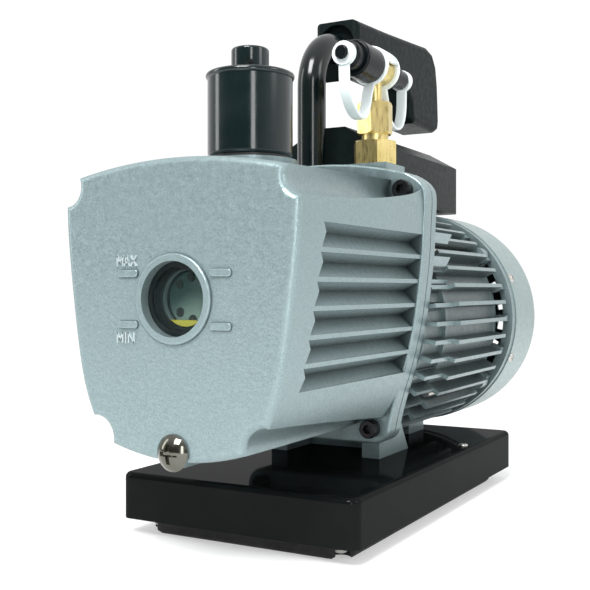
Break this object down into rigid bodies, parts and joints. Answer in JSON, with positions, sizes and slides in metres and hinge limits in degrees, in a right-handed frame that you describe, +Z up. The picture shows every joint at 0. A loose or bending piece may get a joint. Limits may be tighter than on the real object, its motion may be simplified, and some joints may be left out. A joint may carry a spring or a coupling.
{
  "type": "rotary vane vacuum pump",
  "caption": "Portable rotary vane vacuum pump: ribbed oil casing with sight glass, finned motor with fan, exhaust filter, carry handle and capped flare inlet on a base tray.",
  "frame": {"origin": "under the middle of the overall footprint, on the surface the base pad stands on", "axes": "+Z up, -Y out of the oil casing's sight glass, +Y out of the fan cover, +X to the right when facing the sight glass"},
  "size_m": [0.121, 0.2995, 0.257],
  "materials": {
    "pad_rubber": "matte rubber",
    "gloss_black": "gloss black powder coat",
    "zinc_steel": "zinc plated",
    "black_screw": "black oxide",
    "cast_silver": "silver metallic paint on a sand cast surface",
    "motor_silver": "silver metallic paint on die cast aluminium",
    "cover_silver": "smooth silver paint",
    "gasket": "compressed fibre sheet",
    "seal_rubber": "smooth rubber",
    "clear_glass": "polished",
    "bright_steel": "bright",
    "chrome_plug": "bright chrome",
    "can_black": "high gloss black enamel",
    "filter_media": "pleated felt",
    "pump_iron": "machined cast iron, oily",
    "ground_steel": "ground",
    "vane_carbon": "carbon fibre filled composite",
    "lamination": "varnished electrical steel",
    "copper": "varnished winding wire",
    "fan_plastic": "moulded",
    "box_black": "satin moulded",
    "capacitor_shell": "moulded",
    "socket_plastic": "moulded",
    "rocker_plastic": "moulded",
    "tube_black": "gloss black enamel",
    "grip_black": "satin moulded rubber",
    "brass": "machined",
    "cap_black": "moulded",
    "strap_clear": "translucent soft moulding",
    "oil": "clear pump oil"
  },
  "bodies": {
    "pump": {"base_pad": "pad_rubber", "base_tray": "gloss_black", "pad_screws": "zinc_steel", "base_rivets": "zinc_steel", "oil_casing": "cast_silver", "casing_gasket": "gasket", "pump_bracket": "cast_silver", "casing_screws": "black_screw", "bracket_bolts": "zinc_steel", "sight_seal": "seal_rubber", "sight_glass": "clear_glass", "sight_ring": "bright_steel", "pump_cylinder": "pump_iron", "front_plate": "pump_iron", "rear_block": "pump_iron", "plate_screws": "black_screw", "shaft_seal": "seal_rubber", "valve_stop": "ground_steel", "valve_screws": "zinc_steel", "motor_housing": "motor_silver", "stator_core": "lamination", "windings": "copper", "motor_bearings": "bright_steel", "rear_shield": "motor_silver", "through_bolts": "zinc_steel", "fan_cover": "cover_silver", "cover_screws": "zinc_steel", "control_box": "box_black", "box_floor": "box_black", "box_screws": "zinc_steel", "capacitor": "capacitor_shell", "power_inlet": "socket_plastic", "inlet_pins": "bright_steel", "switch_frame": "socket_plastic", "handle_tube": "tube_black", "handle_grip": "grip_black", "inlet_fitting": "brass", "inlet_tee": "brass", "strap_front": "strap_clear", "strap_rear": "strap_clear"},
    "shaft": {"motor_shaft": "ground_steel", "motor_rotor": "lamination", "fan": "fan_plastic", "drive_coupling": "ground_steel", "pump_rotor": "ground_steel", "vane_springs": "ground_steel"},
    "vane_a": {"vane_a": "vane_carbon"},
    "vane_b": {"vane_b": "vane_carbon"},
    "reed": {"valve_reed": "ground_steel"},
    "rocker": {"rocker_switch": "rocker_plastic"},
    "front_cap_ring": {"strap_ring_front": "strap_clear"},
    "front_cap": {"flare_cap_front": "cap_black"},
    "rear_cap_ring": {"strap_ring_rear": "strap_clear"},
    "rear_cap": {"flare_cap_rear": "cap_black"},
    "drain_washer": {"drain_seal": "seal_rubber"},
    "drain": {"drain_plug": "chrome_plug"},
    "filter_washer": {"filter_seal": "seal_rubber"},
    "filter": {"filter_can": "can_black", "filter_element": "filter_media"},
    "exhaust_cap": {"exhaust_cap": "can_black"}
  },
  "joints": [
    {"name": "shaft_spin", "type": "hinge", "parent": "pump", "child": "shaft", "pos_m": [0, 0, 0.0907], "axis": [0, 1, 0], "continuous": true},
    {"name": "vane_a_slide", "type": "slide", "parent": "shaft", "child": "vane_a", "axis": [1, 0, 0], "range_m": [0, 0.0029]},
    {"name": "vane_b_slide", "type": "slide", "parent": "shaft", "child": "vane_b", "axis": [-1, 0, 0], "range_m": [0, 0.0029]},
    {"name": "reed_lift", "type": "hinge", "parent": "pump", "child": "reed", "pos_m": [0.003, -0.084, 0.12505], "axis": [0, -1, 0], "range_deg": [0, 8], "stiffness_Nm_per_rad": 0.02},
    {"name": "rocker_tilt", "type": "hinge", "parent": "pump", "child": "rocker", "pos_m": [-0.033, 0.092, 0.167], "axis": [0, 0, 1], "range_deg": [-18, 0]},
    {"name": "front_cap_travel", "type": "slide", "parent": "pump", "child": "front_cap_ring", "axis": [0, -1, 0], "range_m": [0, 0.00793], "deforming": ["strap_front"]},
    {"name": "front_cap_turn", "type": "hinge", "parent": "front_cap_ring", "child": "front_cap", "pos_m": [0.0186, -0.02, 0.2157], "axis": [0, -1, 0], "range_deg": [0, 1800]},
    {"name": "rear_cap_travel", "type": "slide", "parent": "pump", "child": "rear_cap_ring", "axis": [0, 1, 0], "range_m": [0, 0.00634], "deforming": ["strap_rear"]},
    {"name": "rear_cap_turn", "type": "hinge", "parent": "rear_cap_ring", "child": "rear_cap", "pos_m": [0.0186, 0.01, 0.2157], "axis": [0, 1, 0], "range_deg": [0, 1800]},
    {"name": "drain_plug_travel", "type": "slide", "parent": "pump", "child": "drain_washer", "axis": [0, -1, 0], "range_m": [0, 0.00749]},
    {"name": "drain_plug_turn", "type": "hinge", "parent": "drain_washer", "child": "drain", "pos_m": [0, -0.146, 0.0458], "axis": [0, -1, 0], "range_deg": [0, 2160]},
    {"name": "filter_travel", "type": "slide", "parent": "pump", "child": "filter_washer", "axis": [0, 0, 1], "range_m": [0, 0.00899]},
    {"name": "filter_turn", "type": "hinge", "parent": "filter_washer", "child": "filter", "pos_m": [0, -0.0914, 0.17], "axis": [0, 0, 1], "range_deg": [0, 2160]},
    {"name": "exhaust_cap_lift", "type": "slide", "parent": "filter", "child": "exhaust_cap", "axis": [0, 0, 1], "range_m": [0, 0.015]}
  ],
  "couplings": [
    {"joint": "front_cap_turn", "follows": "front_cap_travel", "rad_per_m": 3957.9},
    {"joint": "rear_cap_turn", "follows": "rear_cap_travel", "rad_per_m": 4947.4},
    {"joint": "drain_plug_turn", "follows": "drain_plug_travel", "rad_per_m": 5026.5},
    {"joint": "filter_turn", "follows": "filter_travel", "rad_per_m": 4188.8}
  ]
}
